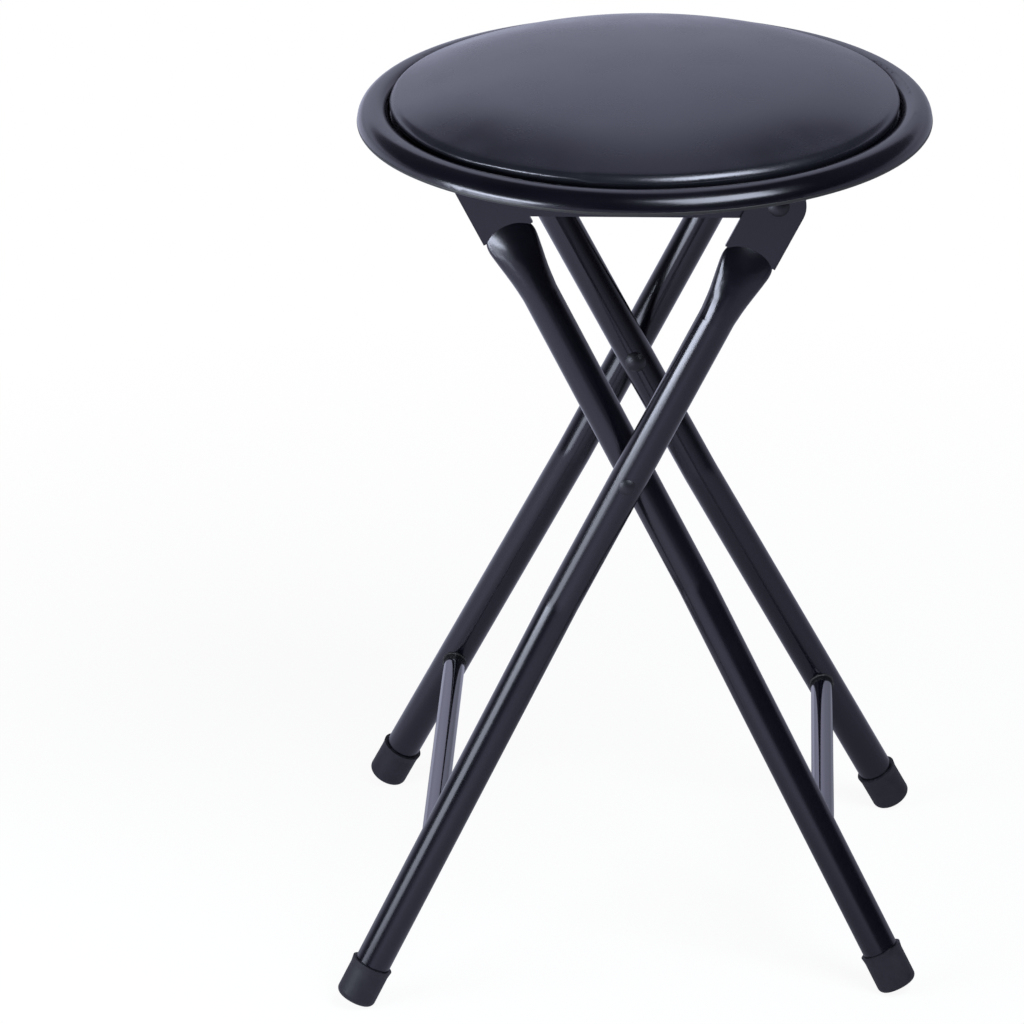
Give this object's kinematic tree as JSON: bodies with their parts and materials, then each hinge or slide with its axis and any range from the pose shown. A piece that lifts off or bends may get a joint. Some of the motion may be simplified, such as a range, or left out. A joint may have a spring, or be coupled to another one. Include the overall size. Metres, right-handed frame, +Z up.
{
  "type": "folding stool",
  "caption": "Folding stool with a round padded seat in a pressed steel rim, carried by crossed frames of bent tube that fold flat about scissor rivets.",
  "frame": {"origin": "on the floor, below the middle of the stool's box as it stands open", "axes": "+Z up, +Y along the hinge axes towards the back, +X towards the side where the outer frame carries the seat"},
  "size_m": [0.3086, 0.3014, 0.4853],
  "materials": {
    "frame_coat": "satin black powder coat",
    "fastener_black": "black rivets, sleeves and screws, a little glossier than the tube",
    "cap_rubber": "matte black moulded rubber",
    "board_ply": "bare plywood",
    "pad_foam": "open foam",
    "seat_vinyl": "semi-gloss black vinyl with a fine pebble grain"
  },
  "bodies": {
    "outer_frame": {"outer_leg_front": "frame_coat", "outer_leg_back": "frame_coat", "outer_cross_bar": "frame_coat", "outer_foot_cap_front": "cap_rubber", "outer_foot_cap_back": "cap_rubber", "seat_rivet_front": "fastener_black", "seat_rivet_back": "fastener_black", "seat_washer_front": "fastener_black", "seat_washer_back": "fastener_black", "scissor_rivet_front": "fastener_black", "scissor_rivet_back": "fastener_black", "scissor_spacer_front": "fastener_black", "scissor_spacer_back": "fastener_black"},
    "inner_frame": {"inner_leg_front": "frame_coat", "inner_leg_back": "frame_coat", "inner_cross_bar": "frame_coat", "inner_top_rod": "frame_coat", "inner_foot_cap_front": "cap_rubber", "inner_foot_cap_back": "cap_rubber"},
    "seat": {"seat_pan": "frame_coat", "seat_bracket_front": "frame_coat", "seat_bracket_back": "frame_coat", "rod_clip_front": "frame_coat", "rod_clip_back": "frame_coat", "bracket_screws": "fastener_black", "clip_screws": "fastener_black", "cushion_board": "board_ply", "cushion_foam": "pad_foam", "cushion_cover": "seat_vinyl"}
  },
  "joints": [
    {"name": "scissor_fold", "type": "hinge", "parent": "outer_frame", "child": "inner_frame", "pos_m": [-0.0019, 0, 0.286], "axis": [0, 1, 0], "range_deg": [0, 48]},
    {"name": "seat_fold", "type": "hinge", "parent": "outer_frame", "child": "seat", "pos_m": [0.07464, 0, 0.43622], "axis": [0, 1, 0], "range_deg": [0, 105]}
  ],
  "couplings": [
    {"joint": "seat_fold", "follows": "scissor_fold", "ratio": 2.1875}
  ]
}
